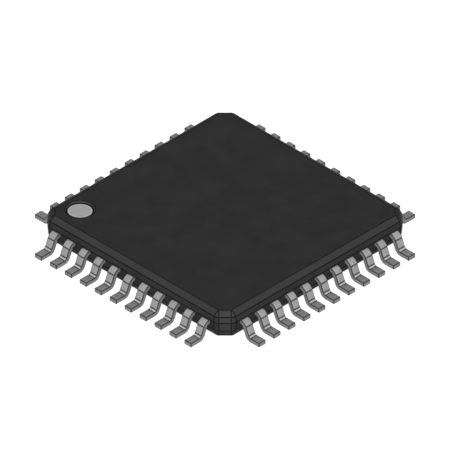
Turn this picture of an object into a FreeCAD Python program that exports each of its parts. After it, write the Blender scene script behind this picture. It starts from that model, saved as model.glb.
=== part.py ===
# Thin quad flat pack: a moulded chip package with 44 gull wing leads, eleven to a side.
# Millimetres. The origin is at the centre of the seating plane, on which the lead feet stand.
# +Z is up. Seen from above, pin 1 is at the -X, +Y corner and the pins count anticlockwise.
import FreeCAD, Part
import math
import os

# Moulded body
BODY_SIDE = 10.0            # across the parting plane, the widest place
CORNER_CHAMFER = 0.5        # leg of the cut corner, at the parting plane
STANDOFF = 0.12             # seating plane to the underside
LOWER_BEVEL_HEIGHT = 0.27   # sloping band round the underside
LOWER_WALL_HEIGHT = 0.395   # steep wall between the bevel and the parting plane
UPPER_HEIGHT = 0.415        # parting plane to the top face
LOWER_BEVEL_ANGLE = 23.6    # degrees from upright
LOWER_DRAFT = 5.0           # degrees
UPPER_DRAFT = 13.5          # degrees
TOP_EDGE_ROUND = 0.24       # round between the wall and the top face, a ball at each corner

# Pin 1 mark and the round ejector pin marks under the body
MARK_DIAMETER = 1.03        # floor of the mark's recess
MARK_DEPTH = 0.10
MARK_DRAFT = 27.0           # slope of the recess's wall, degrees from upright
MARK_FROM_FIRST_SIDE = 1.25     # its centre to the side where pin 1 is
MARK_FROM_LAST_SIDE = 1.0       # its centre to the side where the last pin is
INK_MARGIN = 0.04           # bare floor left round the ink
INK_THICKNESS = 0.02
EJECTOR_DIAMETER = 1.2
EJECTOR_FROM_SIDE = 1.8
EJECTOR_DEPTH = 0.03

# Lead frame, stamped from one sheet; each side takes as many leads as the pitch allows
LEAD_PITCH = 0.8
LEAD_FROM_CORNER = 1.0      # last lead's middle to the body's next side
LEAD_WIDTH = 0.37
SHEET_THICKNESS = 0.19
LEAD_REACH = 1.0            # parting line to the tip of the foot
LEAD_ANGLE = 67.0           # slope of the straight leg, degrees from level
SHOULDER_RADIUS = 0.14      # inside radius of the upper bend, which starts at the parting line
HEEL_RADIUS = 0.105         # inside radius of the lower bend

# Fingers inside the body, which lead to the die; their tips stand in a square ring
FINGER_STRAIGHT = 0.38      # straight run inside the parting line
FINGER_TIP_GAP = 0.60       # paddle's edge to the tips, seen from above
FINGER_TIP_FROM_CORNER = 0.60   # last tip's middle to the ring's corner
FINGER_TIP_WIDTH = 0.24

# Die paddle, its four tie bars and what is stacked on it
PADDLE_MARGIN = 0.70        # paddle's edge outside the die's
PADDLE_DOWNSET = 0.20       # paddle's top lies this far under the lead frame's
TIE_BAR_WIDTH = 0.30
TIE_BAR_FLAT = 0.90         # level run beside the paddle's corner
TIE_BAR_RAMP = 0.35         # plan length of the sloping run
TIE_BAR_COVER = 0.27        # moulding between the bar's end and the cut corner
ATTACH_THICKNESS = 0.025
DIE_SIDE = 3.4
DIE_THICKNESS = 0.25

# Bond wires
WIRE_DIAMETER = 0.03
WIRE_SIDES = 5              # the wire is drawn as a prism with this many sides
PAD_FROM_DIE_EDGE = 0.12
PAD_FROM_DIE_CORNER = 0.35  # last pad to the die's next edge
WIRE_RISE = 0.10            # upright run over the pad
WIRE_LOOP = 0.14            # loop's top over the die
WIRE_SHOULDER = 0.30        # plan distance from the pad to the loop's top
WIRE_FROM_TIP = 0.16        # where the wire lands, in from the finger's tip

# Heights and places worked out from the sizes above
knee_z = STANDOFF + LOWER_BEVEL_HEIGHT
parting_z = knee_z + LOWER_WALL_HEIGHT
top_z = parting_z + UPPER_HEIGHT
half_side = BODY_SIDE / 2
frame_top = parting_z
frame_bottom = frame_top - SHEET_THICKNESS
paddle_top = frame_top - PADDLE_DOWNSET
paddle_bottom = paddle_top - SHEET_THICKNESS
die_bottom = paddle_top + ATTACH_THICKNESS
die_top = die_bottom + DIE_THICKNESS
round_reach = TOP_EDGE_ROUND * math.cos(math.radians(UPPER_DRAFT))
round_z = top_z - TOP_EDGE_ROUND * (1 - math.sin(math.radians(UPPER_DRAFT)))
round_inset = (round_z - parting_z) * math.tan(math.radians(UPPER_DRAFT))
corner_round = round_reach + round_inset
knee_inset = LOWER_WALL_HEIGHT * math.tan(math.radians(LOWER_DRAFT))
foot_inset = knee_inset + LOWER_BEVEL_HEIGHT * math.tan(math.radians(LOWER_BEVEL_ANGLE))
tip_x = half_side + LEAD_REACH
last_lead = half_side - LEAD_FROM_CORNER
leads_per_side = 1 + math.floor(round(2 * last_lead / LEAD_PITCH, 6))
last_offset = (leads_per_side - 1) / 2
paddle_side = DIE_SIDE + 2 * PADDLE_MARGIN
tip_ring = paddle_side / 2 + FINGER_TIP_GAP
tip_pitch = (tip_ring - FINGER_TIP_FROM_CORNER) / last_offset
pad_pitch = (DIE_SIDE / 2 - PAD_FROM_DIE_CORNER) / last_offset


def vec(x, y, z=0.0):
    return FreeCAD.Vector(x, y, z)


def turned(shape, turn):
    """A copy of the shape, turned by so many degrees about the body's upright axis."""
    copy = shape.copy()
    copy.rotate(vec(0, 0), vec(0, 0, 1), turn)
    return copy


def cut_corners(inset, z):
    """Eight corners of the body's plan outline at height z, anticlockwise, moved in by inset."""
    half = half_side - inset
    near = half - (CORNER_CHAMFER - inset * (2 - math.sqrt(2)))
    plan = [(half, -near), (half, near), (near, half), (-near, half),
            (-half, near), (-half, -near), (-near, -half), (near, -half)]
    return [vec(x, y, z) for x, y in plan]


def outline(inset, z):
    """The body's plan outline at height z, with its corners rounded, moved in by inset."""
    radius = corner_round - inset
    corners = cut_corners(inset, z)
    turn = math.radians(360 / len(corners))
    arcs = []
    for i, corner in enumerate(corners):
        back = (corners[i - 1] - corner).normalize()
        ahead = (corners[(i + 1) % len(corners)] - corner).normalize()
        inward = (back + ahead).normalize()
        reach = radius * math.tan(turn / 2)
        middle = corner + inward * (radius / math.cos(turn / 2) - radius)
        arcs.append([corner + back * reach, middle, corner + ahead * reach])
    edges = []
    for i, (start, middle, end) in enumerate(arcs):
        edges.append(Part.Arc(start, middle, end).toShape())
        edges.append(Part.LineSegment(end, arcs[(i + 1) % len(arcs)][0]).toShape())
    return Part.Wire(edges)


def round_profile(foot, outward):
    """Section of the top edge's round, standing on foot, with its arc on the outward side."""
    rise = vec(0, 0, top_z - foot.z)
    centre = foot + rise - vec(0, 0, TOP_EDGE_ROUND)
    slope = math.radians(90 + UPPER_DRAFT) / 2
    middle = centre + outward * (TOP_EDGE_ROUND * math.cos(slope))
    middle += vec(0, 0, TOP_EDGE_ROUND * math.sin(slope))
    toe = foot + outward * round_reach
    edges = [Part.LineSegment(foot + rise, foot).toShape(), Part.LineSegment(foot, toe).toShape(),
             Part.Arc(toe, middle, foot + rise).toShape()]
    return Part.Face(Part.Wire(edges))


def top_cap():
    """The top of the moulding: a flat core with its round run along each edge and about each corner."""
    corners = cut_corners(round_inset + round_reach, round_z)
    core = Part.Face(Part.makePolygon(corners + corners[:1])).extrude(vec(0, 0, top_z - round_z))
    rim = []
    for start, end in zip(corners, corners[1:] + corners[:1]):
        along = end - start
        outward = vec(along.y, -along.x).normalize()
        section = round_profile(start, outward)
        rim.append(section.extrude(along))
        section.translate(along)
        rim.append(section.revolve(end, vec(0, 0, 1), 360 / len(corners)))
    return core.fuse(rim)


def body_blank():
    """The moulding's outer form: bevel, lower wall, drafted upper wall and rounded top."""
    levels = [outline(foot_inset, STANDOFF), outline(knee_inset, knee_z),
              outline(0.0, parting_z), outline(round_inset, round_z)]
    layers = [Part.makeLoft([low, high], True, True) for low, high in zip(levels, levels[1:])]
    return top_cap().fuse(layers).removeSplitter()


def pin_mark():
    """The round recess that marks pin 1, and the disc of ink that lies on its floor."""
    floor = vec(MARK_FROM_FIRST_SIDE - half_side, half_side - MARK_FROM_LAST_SIDE,
                top_z - MARK_DEPTH)
    radius = MARK_DIAMETER / 2
    mouth = radius + MARK_DEPTH * math.tan(math.radians(MARK_DRAFT))
    recess = Part.makeCone(radius, mouth, MARK_DEPTH, floor)
    ink = Part.makeCylinder(radius - INK_MARGIN, INK_THICKNESS, floor)
    return recess, ink


def ejector_marks():
    """Four shallow round marks of the mould's ejector pins, in the underside."""
    place = half_side - EJECTOR_FROM_SIDE
    marks = []
    for x in (-place, place):
        for y in (-place, place):
            low = vec(x, y, STANDOFF - EJECTOR_DEPTH)
            marks.append(Part.makeCylinder(EJECTOR_DIAMETER / 2, 2 * EJECTOR_DEPTH, low))
    return marks


def side_turns():
    """Turns about Z that carry a lead from the +X side to sides 1 to 4, in pin order."""
    return [180, 270, 0, 90]


def lead_offsets():
    """Places along a side, in pitches from its middle."""
    return [i - last_offset for i in range(leads_per_side)]


def gull_wing():
    """Side profile of a lead's outer part on the +X side, in the XZ plane, from body to foot tip."""
    slope = math.radians(LEAD_ANGLE)
    sin, cos = math.sin(slope), math.cos(slope)
    outer = SHOULDER_RADIUS + SHEET_THICKNESS
    drop = frame_top - SHEET_THICKNESS - (1 - cos) * (HEEL_RADIUS + outer)
    leg = drop / sin
    shoulder = vec(half_side, 0, frame_top - outer)
    leg_top = shoulder + vec(outer * sin, 0, outer * cos)
    leg_end = leg_top + vec(leg * cos, 0, -leg * sin)
    heel = leg_end + vec(HEEL_RADIUS * sin, 0, HEEL_RADIUS * cos)

    def around(centre, radius, angle):
        turned = math.radians(angle)
        return centre + vec(radius * math.sin(turned), 0, radius * math.cos(turned))

    root_x = half_side - FINGER_STRAIGHT
    top = [vec(root_x, 0, frame_top), around(shoulder, outer, 0),
           around(shoulder, outer, LEAD_ANGLE / 2), leg_top, leg_end,
           around(heel, -HEEL_RADIUS, LEAD_ANGLE / 2), around(heel, -HEEL_RADIUS, 0),
           vec(tip_x, 0, SHEET_THICKNESS)]
    thick = HEEL_RADIUS + SHEET_THICKNESS
    under = [vec(root_x, 0, frame_bottom), around(shoulder, SHOULDER_RADIUS, 0),
             around(shoulder, SHOULDER_RADIUS, LEAD_ANGLE / 2),
             around(shoulder, SHOULDER_RADIUS, LEAD_ANGLE), around(heel, -thick, LEAD_ANGLE),
             around(heel, -thick, LEAD_ANGLE / 2), around(heel, -thick, 0), vec(tip_x, 0, 0)]

    def run(points):
        a, b, c, d, e, f, g, h = points
        return [Part.LineSegment(a, b).toShape(), Part.Arc(b, c, d).toShape(),
                Part.LineSegment(d, e).toShape(), Part.Arc(e, f, g).toShape(),
                Part.LineSegment(g, h).toShape()]

    ends = [Part.LineSegment(top[-1], under[-1]).toShape(),
            Part.LineSegment(under[0], top[0]).toShape()]
    return Part.Wire(Part.__sortEdges__(run(top) + run(under) + ends))


def finger_line(offset, x):
    """Y of a finger's middle at x: level outside, then aimed at its place on the tip ring."""
    bend_x = half_side - FINGER_STRAIGHT
    outer_y = offset * LEAD_PITCH
    inner_y = offset * tip_pitch
    share = (bend_x - x) / (bend_x - tip_ring)
    return outer_y + (inner_y - outer_y) * max(share, 0.0)


def lead(offset):
    """One lead on the +X side: the bent strip outside and the tapered finger in the moulding."""
    profile = gull_wing()
    profile.translate(vec(0, offset * LEAD_PITCH - LEAD_WIDTH / 2, 0))
    outer = Part.Face(profile).extrude(vec(0, LEAD_WIDTH, 0))
    bend_x = half_side - FINGER_STRAIGHT
    bend_y = finger_line(offset, bend_x)
    tip_y = finger_line(offset, tip_ring)
    plan = [vec(bend_x, bend_y - LEAD_WIDTH / 2, frame_bottom),
            vec(bend_x, bend_y + LEAD_WIDTH / 2, frame_bottom),
            vec(tip_ring, tip_y + FINGER_TIP_WIDTH / 2, frame_bottom),
            vec(tip_ring, tip_y - FINGER_TIP_WIDTH / 2, frame_bottom)]
    finger = Part.Face(Part.makePolygon(plan + plan[:1])).extrude(vec(0, 0, SHEET_THICKNESS))
    return outer.fuse(finger).removeSplitter()


def tie_bar():
    """A bar along +X from the paddle's middle, level, then up its ramp to the lead frame's plane."""
    start = paddle_side / math.sqrt(2) - TIE_BAR_WIDTH
    ramp = start + TIE_BAR_WIDTH + TIE_BAR_FLAT
    corner = (BODY_SIDE - CORNER_CHAMFER) / math.sqrt(2)
    end = corner - TIE_BAR_COVER
    lower = [(start, paddle_bottom), (ramp, paddle_bottom),
             (ramp + TIE_BAR_RAMP, frame_bottom), (end, frame_bottom)]
    upper = [(x, z + SHEET_THICKNESS) for x, z in reversed(lower)]
    points = [vec(x, -TIE_BAR_WIDTH / 2, z) for x, z in lower + upper]
    bar = Part.Face(Part.makePolygon(points + points[:1]))
    return bar.extrude(vec(0, TIE_BAR_WIDTH, 0))


def square_plate(side, bottom, thickness):
    return Part.makeBox(side, side, thickness, vec(-side / 2, -side / 2, bottom))


def die_paddle():
    """The plate under the die, one piece with a tie bar towards each corner of the body."""
    plate = square_plate(paddle_side, paddle_bottom, SHEET_THICKNESS)
    bars = [turned(tie_bar(), turn) for turn in (45, 135, 225, 315)]
    return plate.fuse(bars).removeSplitter()


def ring(point, along, normal, side):
    """The wire's cross-section, carried along one run onto the plane that ends the run there."""
    across = along.cross(side)
    corners = []
    for i in range(WIRE_SIDES):
        angle = 2 * math.pi * (i + 0.5) / WIRE_SIDES
        spoke = side * math.cos(angle) + across * math.sin(angle)
        corner = spoke * (WIRE_DIAMETER / 2)
        corner = corner - along * (corner.dot(normal) / along.dot(normal))
        corners.append(point + corner)
    return corners


def bond_wire(offset):
    """One wire on the +X side: up from its pad on the die, over, and down onto its finger."""
    pad = vec(DIE_SIDE / 2 - PAD_FROM_DIE_EDGE, offset * pad_pitch, die_top)
    land_x = tip_ring + WIRE_FROM_TIP
    land = vec(land_x, finger_line(offset, land_x), frame_top)
    level = vec(land.x - pad.x, land.y - pad.y).normalize()
    rise = pad + vec(0, 0, WIRE_RISE)
    crest = pad + level * WIRE_SHOULDER + vec(0, 0, WIRE_LOOP)
    route = [pad, rise, crest, land]
    runs = [(b - a).normalize() for a, b in zip(route, route[1:])]
    up = vec(0, 0, 1)
    side = up.cross(level).normalize()
    planes = [up] + [(a + b).normalize() for a, b in zip(runs, runs[1:])] + [up]
    rings = [ring(point, along, normal, side)
             for point, along, normal in zip(route, runs[:1] + runs, planes)]
    faces = [Part.Face(Part.makePolygon(end + end[:1])) for end in (rings[0], rings[-1])]
    for low, high in zip(rings, rings[1:]):
        for i in range(WIRE_SIDES):
            j = (i + 1) % WIRE_SIDES
            quad = [low[i], low[j], high[j], high[i], low[i]]
            faces.append(Part.Face(Part.makePolygon(quad)))
    return Part.makeSolid(Part.makeShell(faces))


def build():
    nodes = {}
    pin = 1
    for side, turn in enumerate(side_turns(), 1):
        for offset in lead_offsets():
            nodes[f"lead_{pin:02d}"] = turned(lead(offset), turn)
            pin += 1
        wires = [turned(bond_wire(offset), turn) for offset in lead_offsets()]
        nodes[f"bond_wires_{side}"] = Part.makeCompound(wires)
    nodes["die_paddle"] = die_paddle()
    nodes["die_attach"] = square_plate(DIE_SIDE, paddle_top, ATTACH_THICKNESS)
    nodes["die"] = square_plate(DIE_SIDE, die_bottom, DIE_THICKNESS)
    inserts = [solid for shape in nodes.values() for solid in shape.Solids]
    recess, ink = pin_mark()
    nodes["pin_1_mark"] = ink
    nodes["mold_body"] = body_blank().cut(inserts + ejector_marks() + [recess])
    return nodes


def main():
    os.makedirs("parts", exist_ok=True)
    for name, shape in build().items():
        whole = shape.Solids[0] if len(shape.Solids) == 1 else shape
        if not whole.isValid():
            raise ValueError(f"{name} is not a valid solid")
        whole.exportStep(f"parts/{name}.step")
        print(name, len(whole.Solids), round(whole.Volume, 5))


main()
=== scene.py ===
# A thin quad flat pack chip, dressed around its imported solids. Metres; +Z is up.
# Seen from above, pin 1 is at the -X, +Y corner and the pins count anticlockwise.
import bpy
import math
from mathutils import Matrix, Vector


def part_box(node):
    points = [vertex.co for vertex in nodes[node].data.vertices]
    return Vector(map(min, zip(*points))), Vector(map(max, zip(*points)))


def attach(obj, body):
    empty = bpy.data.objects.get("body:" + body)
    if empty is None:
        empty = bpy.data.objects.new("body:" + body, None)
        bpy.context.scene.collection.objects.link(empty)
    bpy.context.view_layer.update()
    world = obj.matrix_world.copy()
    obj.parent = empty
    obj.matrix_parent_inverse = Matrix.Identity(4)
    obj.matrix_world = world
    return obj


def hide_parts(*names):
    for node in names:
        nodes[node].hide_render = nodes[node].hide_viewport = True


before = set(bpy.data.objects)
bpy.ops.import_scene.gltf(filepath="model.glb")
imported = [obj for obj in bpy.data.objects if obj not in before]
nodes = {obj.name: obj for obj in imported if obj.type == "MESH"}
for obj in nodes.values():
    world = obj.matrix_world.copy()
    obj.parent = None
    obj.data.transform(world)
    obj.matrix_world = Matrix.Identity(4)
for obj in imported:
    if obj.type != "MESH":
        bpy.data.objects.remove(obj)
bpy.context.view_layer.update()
mm = 0.001


# Moulded body
# One block of black epoxy and fine silica, moulded round the leads in a two-part mould, whose
# spark-eroded walls leave a matte grain and a fine dark line wherever they change slope. Its sides
# are painted lighter than its top, as painted light; its rounded top edge and two of its cut corners
# carry a painted highlight; the other two cut corners keep the top's darker tone, as painted shade.
body_low, body_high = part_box("mold_body")
mark_low, mark_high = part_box("pin_1_mark")
mark_middle = (mark_low + mark_high) / 2
parting_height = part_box("lead_28")[1].z
top_round = 0.24 * mm
upper_draft = math.radians(13.5)
lower_draft = math.radians(5)
bevel_angle = math.radians(23.6)
bevel_height = 0.27 * mm
corner_cut = 0.5 * mm
recess_mouth = 0.566 * mm
recess_floor = 0.515 * mm
recess_reach = 0.12 * mm
mouth_line_width = 0.06 * mm
line_half_width = 0.036 * mm
knee_half_width = 1.3 * line_half_width
foot_half_width = 3 * line_half_width
line_depth = 0.85
fade = 0.01 * mm
# How far the painted highlight reaches below and above the round's foot, and beside the cut corners.
highlight_below, highlight_above, highlight_aside = 0.02 * mm, 0.04 * mm, 0.1 * mm
grain_per_mm = 26
filler_per_mm = 44.2
cloud_per_mm = 0.9
grain_depth = 0.0022 * mm
compound_dark = (0.0178, 0.0178, 0.0184)
compound_light = (0.0285, 0.0285, 0.0291)
# Lighter tones painted on the walls, as painted light.
painted_lit_wall_dark = (0.0250, 0.0250, 0.0257)
painted_lit_wall_light = (0.0380, 0.0380, 0.0387)
# A lighter tone painted on as a highlight.
painted_highlight_tone = (0.047, 0.047, 0.0477)
# Near black, for the edge lines and for the painted shade in the recess.
line_and_shade_black = (0.005, 0.005, 0.005)


class Pattern:
    """A node's output that can be used in sums, to write a finish as plain arithmetic."""

    def __init__(self, tree, socket=None):
        self.tree = tree
        self.socket = socket

    def node(self, kind, settings, inputs, output=0):
        """The output of a new node among this pattern's nodes."""
        made = self.tree.nodes.new(kind)
        for name, value in settings.items():
            setattr(made, name, value)
        for name, value in inputs.items():
            if isinstance(value, Pattern):
                self.tree.links.new(value.socket, made.inputs[name])
            else:
                made.inputs[name].default_value = value
        return Pattern(self.tree, made.outputs[output])

    def math(self, operation, first, second=0.0):
        return self.node("ShaderNodeMath", {"operation": operation}, {0: first, 1: second})

    def __add__(self, other):
        return self.math("ADD", self, other)

    def __sub__(self, other):
        return self.math("SUBTRACT", self, other)

    def __rsub__(self, other):
        return self.math("SUBTRACT", other, self)

    def __mul__(self, other):
        return self.math("MULTIPLY", self, other)

    def __pow__(self, power):
        return self.math("POWER", self, power)

    def __abs__(self):
        return self.math("ABSOLUTE", self)

    def __or__(self, other):
        """The greater of the two: a mask that shows where either does."""
        return self.math("MAXIMUM", self, other)

    def __and__(self, other):
        """The lesser of the two."""
        return self.math("MINIMUM", self, other)

    __radd__ = __add__
    __rmul__ = __mul__

    def axes(self):
        """The x, y and z of this place."""
        split = self.node("ShaderNodeSeparateXYZ", {}, {"Vector": self})
        return [Pattern(self.tree, socket) for socket in split.socket.node.outputs]

    def noise(self, per_mm, detail=2.0):
        """Soft uneven spots, about so many to a millimetre."""
        return self.node("ShaderNodeTexNoise", {},
                         {"Vector": self, "Scale": per_mm / mm, "Detail": detail})

    def step(self, low, high, start=0.0, end=1.0):
        """A smooth change from start to end as this value goes from low to high."""
        return self.node("ShaderNodeMapRange", {"interpolation_type": "SMOOTHSTEP"},
                         {"Value": self, "From Min": low, "From Max": high,
                          "To Min": start, "To Max": end})

    def within(self, low, high):
        """One up to low, fading to nothing at high."""
        return self.step(low, high, 1.0, 0.0)

    def line(self, half_width):
        """One along the line where this distance is nought, fading to nothing at half_width."""
        return abs(self).within(0.4 * half_width, half_width)

    def colours(self, first, second):
        """From the first colour to the second as this value goes from nought to one."""
        first, second = [colour if isinstance(colour, Pattern) else (*colour, 1.0)
                         for colour in (first, second)]
        return self.node("ShaderNodeMix", {"data_type": "RGBA"}, {0: self, 6: first, 7: second},
                         output=2)

    def bump(self, depth):
        return self.node("ShaderNodeBump", {}, {"Height": self, "Distance": depth})


def new_finish(name, **constants):
    """A material whose even values are set at once. Returns it, its shader and its coordinates."""
    finish = bpy.data.materials.new(name)
    finish.use_nodes = True
    shader = finish.node_tree.nodes["Principled BSDF"]
    for socket, value in constants.items():
        shader.inputs[socket.replace("_", " ")].default_value = value
    place = Pattern(finish.node_tree).node("ShaderNodeTexCoord", {}, {}, output="Object")
    return finish, shader, place


def feed(shader, **patterns):
    """Joins each pattern to the shader's socket of that name."""
    for socket, pattern in patterns.items():
        pattern.tree.links.new(pattern.socket, shader.inputs[socket.replace("_", " ")])


# How far the walls lean in above and below the parting plane, and where the cut corners end.
round_foot = body_high.z - top_round * (1 - math.sin(upper_draft))
upper_lean = (round_foot - parting_height) * math.tan(upper_draft) + top_round * math.cos(upper_draft)
lower_lean = (bevel_height * math.tan(bevel_angle)
              + (parting_height - body_low.z - bevel_height) * math.tan(lower_draft))
cut_distance = (2 * body_high.x - corner_cut) / math.sqrt(2)
side_end = body_high.x - corner_cut - upper_lean * math.tan(math.pi / 8)
corner_end = corner_cut * math.sqrt(0.5) - upper_lean * math.tan(math.pi / 8)

compound, shader, place = new_finish("mold_compound", Specular_IOR_Level=0.035)
grain = place.noise(grain_per_mm, detail=3.0)
filler = place.noise(filler_per_mm).step(0.66, 0.76)
cloud = place.noise(cloud_per_mm, detail=4.0)

# How far out a point lies: from the upright planes through the body's middle, from the outlines of
# its flat top and of its underside, and from the middle of pin 1's mark.
east, north, height = place.axes()
across, along = abs(east), abs(north)
diagonal = (across + along) * math.sqrt(0.5)
off_diagonal = abs(across - along) * math.sqrt(0.5)
out_of_flat, out_of_under = (
    (across - (body_high.x - lean)) | (along - (body_high.x - lean)) | (diagonal - (cut_distance - lean))
    for lean in (upper_lean, lower_lean))
aside, ahead = east - mark_middle.x, north - mark_middle.y
from_mark = (aside * aside + ahead * ahead) ** 0.5

# Which part of the body a point is on, and the lines where one part meets the next.
on_top = height.step(body_high.z - recess_reach, body_high.z - recess_reach + fade)
on_flat = height.step(body_high.z - 2 * fade, body_high.z - fade)
beside = out_of_flat.step(0.0, fade)
cut_corner = beside * off_diagonal.within(corner_end, corner_end + highlight_aside)
# The two cut corners where x and y have opposite signs keep the top's darker tone, as painted shade, and
# get no painted highlight.
signs_agree = (east * north).step(-mm * mm, mm * mm)
painted_shade_corner = cut_corner * (1 - signs_agree)
recess = on_top * from_mark.within(recess_mouth - fade, recess_mouth)
# A near-black ring round the edge of the recess's floor, as painted shade where it meets the wall.
painted_shade_ring = on_top * from_mark.within(recess_floor + fade, recess_floor + 2 * fade)
recess_lip = on_top * (1 - recess) * from_mark.within(recess_mouth + mouth_line_width / 2,
                                                      recess_mouth + mouth_line_width)
corner_lines = beside * (((across & along) - side_end).line(line_half_width)
                         | (off_diagonal - corner_end).line(line_half_width))
lines = ((height - parting_height).line(line_half_width)
         | (height - round_foot).line(line_half_width)
         | (height - body_low.z - bevel_height).line(knee_half_width)
         | (height - body_low.z).line(foot_half_width) * out_of_under.step(0.0, 0.2 * fade)
         | on_flat * out_of_flat.line(line_half_width)
         | corner_lines
         | recess_lip)

# The tones: fine grain, soft clouds and the filler's small pale specks. The walls are painted
# lighter than the top, as painted light, and the rounded edge, two cut corners and the inside of
# the recess lighter still, as a painted highlight.
rounded = beside * height.step(round_foot - highlight_below, round_foot + highlight_above)
painted_highlight = (0.8 * rounded | cut_corner) * (1 - painted_shade_corner)
# Everything but the flat top is painted lighter, as painted light.
walls = (beside | height.within(parting_height, round_foot)) * (1 - painted_shade_corner)
shade = 0.45 * grain + 0.55 * cloud.step(0.3, 0.7) + 0.5 * filler
compound_tone = walls.colours(shade.colours(compound_dark, compound_light),
                              shade.colours(painted_lit_wall_dark, painted_lit_wall_light))
# The painted highlight on the round, two cut corners and the inside of the recess.
compound_tone = (painted_highlight * (0.4 + 0.6 * grain) | recess).colours(compound_tone, painted_highlight_tone)
feed(shader, Base_Color=(line_depth * lines | painted_shade_ring).colours(compound_tone, line_and_shade_black),
     Roughness=0.50 + 0.12 * grain + 0.06 * cloud,
     Normal=(grain + 0.35 * filler).bump(grain_depth))
nodes["mold_body"].material_slots[0].material = compound


# Leads
# Forty-four gull wing leads, stamped from one copper alloy sheet, plated with matte tin and bent
# last: out of the body, down, and flat again under the solder foot. Plating rounds their edges.
sheet = 0.19 * mm
pitch = 0.8 * mm
slope = math.radians(67)
shoulder_radius = 0.14 * mm
heel_radius = 0.105 * mm
straight_inside = 0.38 * mm
tip_pitch = 0.48 * mm
tip_width = 0.24 * mm
edge_round = 0.030 * mm
bend_steps = 12
sharpest_smooth = math.radians(40)
edge_line = 0.042 * mm
tool_mark = 0.035 * mm
# How far out the thin dark band on each lead's top reaches.
dark_band_reach = 0.070 * mm
tin_grain_per_mm = 34
tin_patch_per_mm = 2.2
tin_grain_depth = 0.0008 * mm
tin_dark = (0.275, 0.275, 0.275)
tin_light = (0.34, 0.34, 0.34)
# Duller tin for the rough sheared faces, painted darker, partly as painted shade.
tin_sheared_and_shade = (0.24, 0.24, 0.24)
# A painted highlight for the inside of the heel.
tin_painted_highlight = (0.42, 0.42, 0.42)
# The foot's top, painted darker as painted shade.
tin_foot_painted_shade = (0.185, 0.185, 0.185)
tin_corner = (0.020, 0.020, 0.020)
side_turns = [math.pi, 1.5 * math.pi, 0.0, 0.5 * math.pi]
lead_low, lead_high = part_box("lead_28")
lead_width = lead_high.y - lead_low.y
lead_names = sorted(name for name in nodes if name.startswith("lead_"))
leads_per_side = len(lead_names) // 4

shoulder_outer = shoulder_radius + sheet
drop = parting_height - sheet - (1 - math.cos(slope)) * (heel_radius + shoulder_outer)
leg = drop / math.sin(slope)
shoulder = Vector((body_high.x, 0, parting_height - shoulder_outer))
heel = Vector((0, 0, sheet + heel_radius))
heel.x = shoulder.x + leg * math.cos(slope) + (shoulder_outer + heel_radius) * math.sin(slope)
toe = Vector((lead_high.x, 0, sheet / 2))

# The sheet's section at the toe. Each point keeps its place across and through the sheet, for the
# finish, and takes it along as the section is drawn in: the foot, the heel, the leg, the shoulder.
bpy.ops.object.select_all(action="DESELECT")
bpy.ops.mesh.primitive_plane_add(size=1, location=toe, rotation=(0, math.pi / 2, 0))
blank = bpy.context.object
bpy.ops.object.mode_set(mode="EDIT")
bpy.ops.transform.resize(value=(1, lead_width, sheet), center_override=toe)
bpy.ops.mesh.bevel(offset=edge_round, segments=3, affect="VERTICES")
bpy.ops.object.mode_set(mode="OBJECT")
bpy.ops.object.transform_apply(location=True, rotation=True, scale=True)
for name, axis in (("across_sheet", 1), ("through_sheet", 2)):
    spread = blank.data.attributes.new(name, "FLOAT", "POINT")
    spread.data.foreach_set("value", [point.co[axis] - toe[axis] for point in blank.data.vertices])
bpy.ops.object.mode_set(mode="EDIT")
bpy.ops.mesh.extrude_region_move(TRANSFORM_OT_translate={"value": (heel.x - toe.x, 0, 0)})
bpy.ops.mesh.spin(steps=bend_steps, angle=-slope, center=heel, axis=(0, 1, 0))
bpy.ops.mesh.extrude_region_move(
    TRANSFORM_OT_translate={"value": (-leg * math.cos(slope), 0, leg * math.sin(slope))})
bpy.ops.mesh.spin(steps=bend_steps, angle=slope, center=shoulder, axis=(0, 1, 0))
bpy.ops.mesh.extrude_region_move(TRANSFORM_OT_translate={"value": (-straight_inside, 0, 0)})

# The sheared tip: its rim is picked by place, and softened by the plating. The face at the other
# end is left picked, for the finger that each lead has inside the body.
bpy.ops.mesh.select_mode(type="EDGE")
bpy.ops.mesh.select_all(action="DESELECT")
bpy.ops.object.mode_set(mode="OBJECT")
points = blank.data.vertices
for edge in blank.data.edges:
    edge.select = all(points[i].co.x > toe.x - edge_round / 2 for i in edge.vertices)
bpy.ops.object.mode_set(mode="EDIT")
bpy.ops.mesh.bevel(offset=0.8 * edge_round, segments=2, affect="EDGES")
bpy.ops.mesh.select_all(action="SELECT")
bpy.ops.mesh.normals_make_consistent(inside=False)
bpy.ops.mesh.select_mode(type="FACE")
bpy.ops.mesh.select_all(action="DESELECT")
bpy.ops.object.mode_set(mode="OBJECT")
for face in blank.data.polygons:
    face.select = face.normal.x < -0.99 and face.center.x < shoulder.x

# A lead's finish follows its place across and through the sheet, and how far out it lies. Its
# sheared faces are rough, and their tin is painted darker, partly as painted shade; it wears thin
# and dark at the edges. The inside of the heel is smoother, with a painted highlight, the foot's top
# is painted darker as painted shade, and the bending punch marked each bend's end. Just outside the
# body, the top of each lead has a thin dark band.
plating, shader, place = new_finish("tin_plated_lead", Metallic=0.3, Specular_IOR_Level=0.2)
matte = place.noise(tin_grain_per_mm)
patch = place.noise(tin_patch_per_mm, detail=4.0).step(0.3, 0.7)
east, north, height = place.axes()
outward = abs(east) | abs(north)
across_sheet, through_sheet = (
    place.node("ShaderNodeAttribute", {"attribute_name": name}, {}, output="Fac")
    for name in ("across_sheet", "through_sheet"))
bend_end = shoulder.z + shoulder_outer * math.cos(slope)
heel_top = sheet + heel_radius * (1 - math.cos(slope))
heel_start = heel.x - heel_radius * math.sin(slope)
to_side = lead_width / 2 - abs(across_sheet)
to_face = sheet / 2 - abs(through_sheet)
to_tip = toe.x - outward
to_edge = to_side + to_face + to_tip - (to_side | to_face | to_tip)
worn_edge = to_edge.within(0.5 * edge_line, edge_line)
sheared = to_side.within(0.0, fade) | to_tip.within(0.0, fade)
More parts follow.
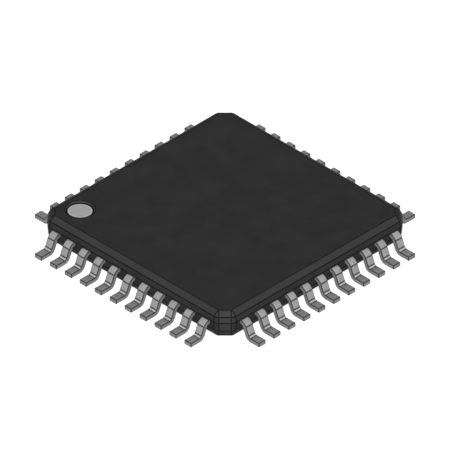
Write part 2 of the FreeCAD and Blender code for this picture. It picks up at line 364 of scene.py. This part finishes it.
topside = through_sheet.step(sheet / 2 - fade, sheet / 2) * (1 - sheared)
# A thin dark band on the lead's top, just outside the body.
dark_band = topside * outward.within(body_high.x + 0.6 * dark_band_reach, body_high.x + dark_band_reach)
# The foot's top, painted darker as painted shade.
foot = topside * outward.step(heel.x, heel.x + fade)
# The inside of the heel: smoother, and painted lighter as a painted highlight.
burnished_highlight = topside * outward.step(heel_start, heel_start + fade) * (1 - foot)
tool_marks = topside * ((height - bend_end).line(tool_mark) | (height - heel_top).line(tool_mark)
                        | (outward - heel.x).line(tool_mark))
tin = (0.5 * matte + 0.5 * patch).colours(tin_dark, tin_light)
tin = burnished_highlight.colours(foot.colours(tin, tin_foot_painted_shade), tin_painted_highlight)
# The sheared faces, painted darker, partly as painted shade.
tin = sheared.colours(tin, tin_sheared_and_shade)
feed(shader, Base_Color=(0.95 * (worn_edge | tool_marks | dark_band)).colours(tin, tin_corner),
     Roughness=0.40 + 0.08 * matte + 0.05 * patch + 0.15 * sheared - 0.12 * burnished_highlight,
     Normal=matte.bump(tin_grain_depth))

# Each lead is a copy of the blank with its own finger, which swings and narrows towards the die.
for name in lead_names:
    pin = name[-2:]
    side, place_on_side = divmod(int(pin) - 1, leads_per_side)
    offset = place_on_side - (leads_per_side - 1) / 2
    lead = blank.copy()
    lead.name = f"gull_wing_{pin}"
    lead.data = blank.data.copy()
    bpy.context.collection.objects.link(lead)
    bpy.ops.object.select_all(action="DESELECT")
    lead.select_set(True)
    bpy.context.view_layer.objects.active = lead
    bpy.ops.object.mode_set(mode="EDIT")
    run = (lead_low.x - shoulder.x + straight_inside, offset * (tip_pitch - pitch), 0)
    bpy.ops.mesh.extrude_region_move(TRANSFORM_OT_translate={"value": run})
    bpy.ops.transform.resize(value=(1, tip_width / lead_width, 1), center_override=(0, run[1], 0))
    bpy.ops.object.mode_set(mode="OBJECT")
    lead.matrix_world = (Matrix.Rotation(side_turns[side], 4, "Z")
                         @ Matrix.Translation((0, offset * pitch, 0)))
    bpy.ops.object.transform_apply(location=True, rotation=True, scale=True)
    bpy.ops.object.shade_smooth_by_angle(angle=sharpest_smooth)
    bpy.ops.object.modifier_add(type="WEIGHTED_NORMAL")
    lead.modifiers[0].keep_sharp = True
    lead.modifiers[0].weight = 100
    bpy.ops.object.modifier_apply(modifier=lead.modifiers[0].name)
    lead.data.materials.append(plating)
    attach(lead, "root")
    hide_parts(name)
bpy.data.objects.remove(blank)


# Pin 1 mark
# A thin dot of light grey ink at the bottom of a shallow round recess beside the first corner.
# The printing pad leaves it flat, a hair narrower along the diagonal that it rolls over, with a
# pale rim where the ink heaps up and a thin dark edge where it runs out.
ink_offset = 0.008 * mm
ink_squeeze = 1.08
ink_edge = 0.02 * mm
ink_rim_start, ink_rim_end = 0.04 * mm, 0.07 * mm
ink_grain_per_mm = 30
ink_cloud_per_mm = 2.5
ink_grain_depth = 0.0014 * mm
ink_dark = (0.318, 0.318, 0.318)
ink_light = (0.371, 0.371, 0.371)
ink_rim = (0.52, 0.52, 0.52)
ink_thin = (0.03, 0.03, 0.03)
ink_radius = (mark_high.x - mark_low.x) / 2

ink, shader, place = new_finish("mark_ink", Specular_IOR_Level=0.3)
stipple = place.noise(ink_grain_per_mm, detail=3.0)
cloud = place.noise(ink_cloud_per_mm)
east, north = place.axes()[:2]
aside, ahead = east - mark_middle.x, north - mark_middle.y
inward = ink_squeeze * ((aside + ahead) * math.sqrt(0.5) - ink_offset)
sideways = (aside - ahead) * math.sqrt(0.5)
from_rim = ink_radius - (inward * inward + sideways * sideways) ** 0.5
ink_tone = (0.6 * stipple + 0.4 * cloud).colours(ink_dark, ink_light)
ink_tone = (0.75 * from_rim.within(ink_rim_start, ink_rim_end)).colours(ink_tone, ink_rim)
feed(shader, Base_Color=(0.9 * from_rim.within(0.0, ink_edge)).colours(ink_tone, ink_thin),
     Roughness=0.62 + 0.14 * stipple, Normal=stipple.bump(ink_grain_depth))
nodes["pin_1_mark"].material_slots[0].material = ink


# Die paddle
# The plate under the die and its four tie bars, one piece, of the same copper alloy as the leads.
# It stays bare, and rolling has left fine streaks along the sheet.
streaks_per_mm = 22
streak_stretch = (0.1, 1.0, 1.0)
copper_dark = (0.60, 0.33, 0.21)
copper_light = (0.78, 0.48, 0.33)
bare_copper, shader, place = new_finish("bare_lead_frame", Metallic=1.0)
along_sheet = place.node("ShaderNodeMapping", {}, {"Vector": place, "Scale": streak_stretch})
streaks = along_sheet.noise(streaks_per_mm)
feed(shader, Base_Color=streaks.colours(copper_dark, copper_light),
     Roughness=0.30 + 0.16 * streaks)
nodes["die_paddle"].material_slots[0].material = bare_copper


# Die and its paste
# A square of silicon, polished on top, on a film of cured silver-filled epoxy.
# The film is dull and granular; the die is dark with the faint tints of its oxide layers.
flakes_per_mm = 40
paste_dark = (0.42, 0.42, 0.40)
paste_light = (0.62, 0.62, 0.60)
paste, shader, place = new_finish("die_attach_paste", Metallic=0.4)
flakes = place.noise(flakes_per_mm)
feed(shader, Base_Color=flakes.colours(paste_dark, paste_light),
     Roughness=0.5 + 0.2 * flakes)
nodes["die_attach"].material_slots[0].material = paste

tints_per_mm = 1.5
oxide_blue = (0.06, 0.07, 0.10)
oxide_violet = (0.12, 0.11, 0.14)
silicon, shader, place = new_finish("silicon", Specular_IOR_Level=0.9)
oxide = place.noise(tints_per_mm)
feed(shader, Base_Color=oxide.colours(oxide_blue, oxide_violet),
     Roughness=0.12 + 0.10 * oxide)
nodes["die"].material_slots[0].material = silicon


# Bond wires
# Forty-four drawn gold wires, bonded to the die's edge and stitched to the fingers' tips.
# Drawing leaves them bright, with a slight change of tone along their length.
tones_per_mm = 6
gold_dark = (0.80, 0.52, 0.18)
gold_light = (0.95, 0.70, 0.32)
gold, shader, place = new_finish("gold_wire", Metallic=1.0)
tone = place.noise(tones_per_mm)
feed(shader, Base_Color=tone.colours(gold_dark, gold_light),
     Roughness=0.18 + 0.08 * tone)
for side in range(1, 5):
    nodes[f"bond_wires_{side}"].material_slots[0].material = gold


# Floor
# A wide white sheet under the chip. The camera and polished metal see it white, with the chip's
# soft shadow on it; it throws little light back up under the body.
floor_size = 0.8
floor_gap = 0.0005 * mm
floor_grey = (0.30, 0.30, 0.30)
floor_seen = (0.52, 0.52, 0.52)
floor_lift = (0.70, 0.70, 0.70)
bpy.ops.object.select_all(action="DESELECT")
bpy.ops.mesh.primitive_plane_add(size=floor_size, location=(0, 0, -floor_gap))
floor = bpy.context.object
floor.name = "floor"
paper, shader, place = new_finish("floor", Roughness=0.9, Specular_IOR_Level=0.0,
                                  Emission_Strength=1.0)
seen, mirrored = (place.node("ShaderNodeLightPath", {}, {}, output=f"Is {kind} Ray")
                  for kind in ("Camera", "Glossy"))
feed(shader, Base_Color=(seen + mirrored).colours(floor_grey, floor_seen),
     Emission_Color=(seen + mirrored).colours((0.0, 0.0, 0.0), floor_lift))
floor.data.materials.append(paper)


# Light
# One broad soft lamp high on the camera's side, and an even white room all round, which lights the
# chip weakly but looks white to the camera and in polished metal.
key_strength = 3.5
key_softness = math.radians(12)
key_azimuth = math.radians(-45)
key_height = math.radians(42)
room_level = 0.20
bpy.ops.object.select_all(action="DESELECT")
bpy.ops.object.light_add(type="SUN")
lamp = bpy.context.object
lamp.name = "key_light"
lamp.data.energy = key_strength
lamp.data.angle = key_softness
toward_lamp = Vector((math.sin(key_azimuth) * math.cos(key_height),
                      -math.cos(key_azimuth) * math.cos(key_height), math.sin(key_height)))
lamp.rotation_mode = "QUATERNION"
lamp.rotation_quaternion = toward_lamp.to_track_quat("Z", "Y")

room = bpy.data.worlds.new("room")
room.use_nodes = True
bpy.context.scene.world = room
sky = room.node_tree.nodes["Background"]
sky.inputs["Color"].default_value = (1.0, 1.0, 1.0, 1.0)
rays = [Pattern(room.node_tree).node("ShaderNodeLightPath", {}, {}, output=f"Is {kind} Ray")
        for kind in ("Camera", "Glossy", "Transmission")]
feed(sky, Strength=sum(rays).step(0.0, 1.0, room_level, 1.0))


# Camera
# A true isometric view from the corner between the -X and -Y sides, with no perspective. Its
# middle looks at the chip's upright axis, half-way up.
view_width = 17.013 * mm
aim = Vector((0, 0, 0.593 * mm))
camera_distance = 0.1
back = Vector((-1, -1, 1)).normalized()
bpy.ops.object.camera_add(location=aim + camera_distance * back)
camera = bpy.context.object
camera.data.type = "ORTHO"
camera.data.ortho_scale = view_width
camera.data.clip_start = 0.001
camera.data.clip_end = 10.0
camera.rotation_mode = "QUATERNION"
camera.rotation_quaternion = (-back).to_track_quat("-Z", "Y")
bpy.context.scene.camera = camera

bpy.context.scene.view_settings.view_transform = "Standard"
